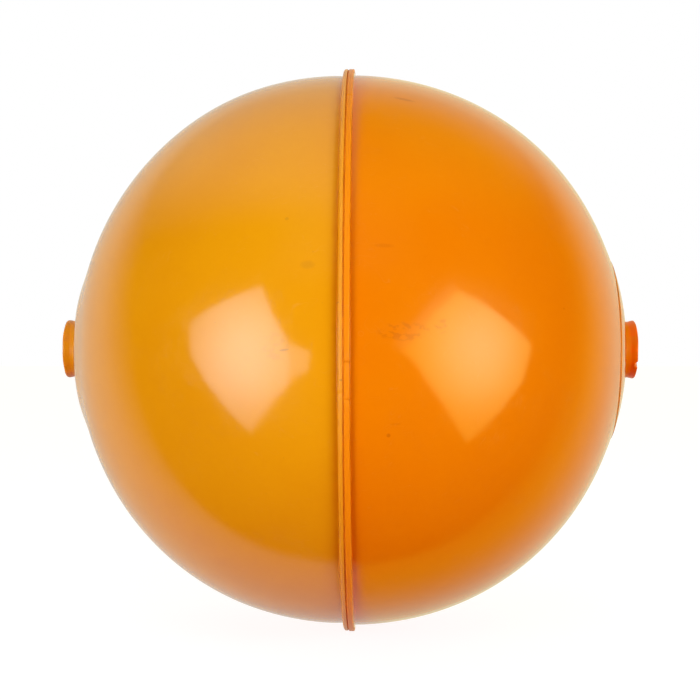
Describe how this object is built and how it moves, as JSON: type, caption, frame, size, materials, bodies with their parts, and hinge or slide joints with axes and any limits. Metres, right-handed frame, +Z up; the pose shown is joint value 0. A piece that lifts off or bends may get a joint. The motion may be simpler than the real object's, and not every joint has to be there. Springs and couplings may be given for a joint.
{
  "type": "plastic float ball",
  "caption": "Hollow plastic float ball: yellow-orange and orange half shells welded at a lipped rim, short neck at each pole, sleeve bore right through for a line.",
  "frame": {"origin": "centre of the ball, on the axis of its bore", "axes": "+X along the bore's axis towards the orange half's neck, +Z up; the weld line lies in the YZ plane"},
  "size_m": [0.157, 0.1526, 0.1526],
  "materials": {
    "left_shell_plastic": "glossy, yellow-orange, lightly scuffed",
    "right_shell_plastic": "glossy, orange, lightly scuffed",
    "sleeve_plastic": "matt extruded tube, red-orange",
    "weld_plastic": "fused plastic, dulled by dirt",
    "cement": "cured solvent cement, cloudy amber"
  },
  "bodies": {
    "root": {"left_shell": "left_shell_plastic", "right_shell": "right_shell_plastic", "centre_sleeve": "sleeve_plastic", "rim_weld": "weld_plastic", "left_neck_seal": "cement", "right_neck_seal": "cement"}
  },
  "joints": []
}
